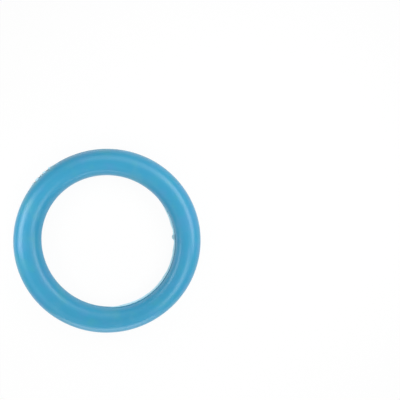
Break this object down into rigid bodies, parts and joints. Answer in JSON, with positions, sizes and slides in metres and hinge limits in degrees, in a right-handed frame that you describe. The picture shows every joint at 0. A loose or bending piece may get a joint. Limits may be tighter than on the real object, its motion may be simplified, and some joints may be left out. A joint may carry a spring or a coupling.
{
  "type": "hand exercise ring",
  "caption": "Round soft ring of tubular section, held by hand and squeezed, twisted or pulled to exercise fingers, wrists and arms.",
  "frame": {"origin": "centre of the ring, on its axis and half way through its thickness", "axes": "+Z along the ring's axis, out of its front face; X and Y lie in the bonding plane, +Y towards the top of the ring as it is held up"},
  "size_m": [0.16, 0.16, 0.0218],
  "materials": {
    "blue_rubber": "satin moulded soft rubber, plain mid blue, with a trimmed parting line round its inner and outer edges"
  },
  "bodies": {
    "root": {"front_half_shell": "blue_rubber", "rear_half_shell": "blue_rubber"}
  },
  "joints": []
}
